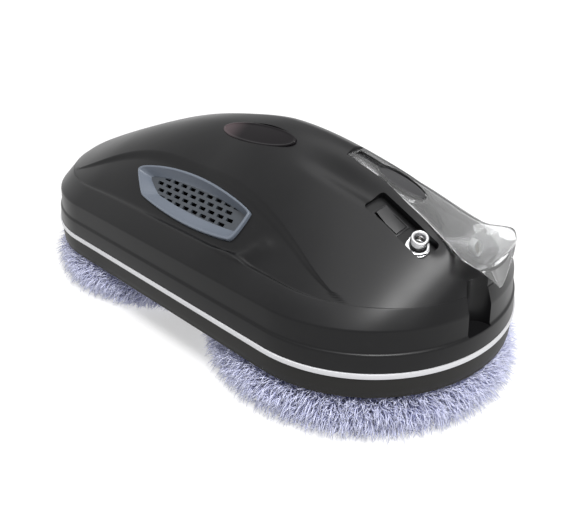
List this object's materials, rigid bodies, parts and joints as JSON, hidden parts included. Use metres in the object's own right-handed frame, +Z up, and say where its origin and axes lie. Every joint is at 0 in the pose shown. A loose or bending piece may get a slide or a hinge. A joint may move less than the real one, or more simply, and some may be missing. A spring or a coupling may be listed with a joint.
{
  "type": "window cleaning robot",
  "caption": "Domed window cleaning robot that drives on turning mop pads, with a suction fan, side air vents, a rocker switch, a power socket and a clear water tank.",
  "frame": {"origin": "centre of the footprint, at the underside of the mop pads", "axes": "+X along the body towards the water tank's tip, +Y towards the flank without controls, +Z up"},
  "size_m": [0.342, 0.174, 0.1249],
  "materials": {
    "body_plastic": "satin",
    "casing_plastic": "fine grain",
    "silver_strip": "satin silver",
    "inner_plastic": "matt",
    "vent_plastic": "satin",
    "grille_plastic": "satin",
    "badge_gloss": "gloss",
    "switch_plastic": "matt",
    "socket_metal": "polished",
    "contact_metal": "polished",
    "clear_plastic": "clear",
    "plug_rubber": "matt",
    "white_plastic": "matt",
    "disc_plastic": "matt",
    "microfibre": "long pile",
    "steel": "brushed",
    "battery_wrap": "shrink film",
    "board_green": "lacquered"
  },
  "bodies": {
    "chassis": {"upper_housing": "body_plastic", "lower_casing": "casing_plastic", "trim_strip": "silver_strip", "inner_frame": "inner_plastic", "suction_duct": "inner_plastic", "vent_frame_left": "vent_plastic", "vent_frame_right": "vent_plastic", "vent_grille_left": "grille_plastic", "vent_grille_right": "grille_plastic", "badge_plate": "badge_gloss", "switch_frame": "switch_plastic", "power_socket": "socket_metal", "socket_nut": "socket_metal", "socket_contact": "contact_metal", "water_tank": "clear_plastic", "spray_head": "white_plastic", "spray_disc": "contact_metal", "wheel_bearing_front": "steel", "wheel_bearing_rear": "steel", "idler_pin_front": "steel", "idler_pin_rear": "steel", "drive_motor_front": "steel", "drive_motor_rear": "steel", "fan_housing": "inner_plastic", "fan_motor": "steel", "battery_pack": "battery_wrap", "circuit_board": "board_green", "casing_screws": "steel"},
    "front_disc": {"wheel_disc_front": "disc_plastic", "mop_pad_front": "microfibre", "wheel_gear_front": "white_plastic"},
    "rear_disc": {"wheel_disc_rear": "disc_plastic", "mop_pad_rear": "microfibre", "wheel_gear_rear": "white_plastic"},
    "front_idler": {"idler_gear_front": "white_plastic"},
    "rear_idler": {"idler_gear_rear": "white_plastic"},
    "front_pinion": {"motor_pinion_front": "contact_metal"},
    "rear_pinion": {"motor_pinion_rear": "contact_metal"},
    "impeller": {"fan_impeller": "inner_plastic"},
    "rocker": {"rocker_switch": "switch_plastic"},
    "plug": {"tank_plug": "plug_rubber"}
  },
  "joints": [
    {"name": "front_disc_spin", "type": "hinge", "parent": "chassis", "child": "front_disc", "pos_m": [0.084, 0, 0], "axis": [0, 0, 1], "continuous": true},
    {"name": "rear_disc_spin", "type": "hinge", "parent": "chassis", "child": "rear_disc", "pos_m": [-0.084, 0, 0], "axis": [0, 0, 1], "continuous": true},
    {"name": "front_idler_spin", "type": "hinge", "parent": "chassis", "child": "front_idler", "pos_m": [0.05775, 0.04547, 0], "axis": [0, 0, 1], "continuous": true},
    {"name": "rear_idler_spin", "type": "hinge", "parent": "chassis", "child": "rear_idler", "pos_m": [-0.05775, -0.04547, 0], "axis": [0, 0, 1], "continuous": true},
    {"name": "front_pinion_spin", "type": "hinge", "parent": "chassis", "child": "front_pinion", "pos_m": [0.09025, 0.03974, 0], "axis": [0, 0, 1], "continuous": true},
    {"name": "rear_pinion_spin", "type": "hinge", "parent": "chassis", "child": "rear_pinion", "pos_m": [-0.09025, -0.03974, 0], "axis": [0, 0, 1], "continuous": true},
    {"name": "fan_spin", "type": "hinge", "parent": "chassis", "child": "impeller", "pos_m": [0, 0, 0], "axis": [0, 0, 1], "continuous": true},
    {"name": "rocker_tilt", "type": "hinge", "parent": "chassis", "child": "rocker", "pos_m": [0.11351, -0.01796, 0.09277], "axis": [0.2212, 0.9257, 0.3068], "range_deg": [-14, 0]},
    {"name": "plug_hinge", "type": "hinge", "parent": "chassis", "child": "plug", "pos_m": [0.0781, 0, 0.1144], "axis": [0, -1, 0], "range_deg": [0, 95]}
  ],
  "couplings": [
    {"joint": "front_idler_spin", "follows": "front_disc_spin", "ratio": -4},
    {"joint": "rear_idler_spin", "follows": "rear_disc_spin", "ratio": -4},
    {"joint": "front_pinion_spin", "follows": "front_disc_spin", "ratio": 10.667},
    {"joint": "rear_pinion_spin", "follows": "rear_disc_spin", "ratio": 10.667}
  ]
}
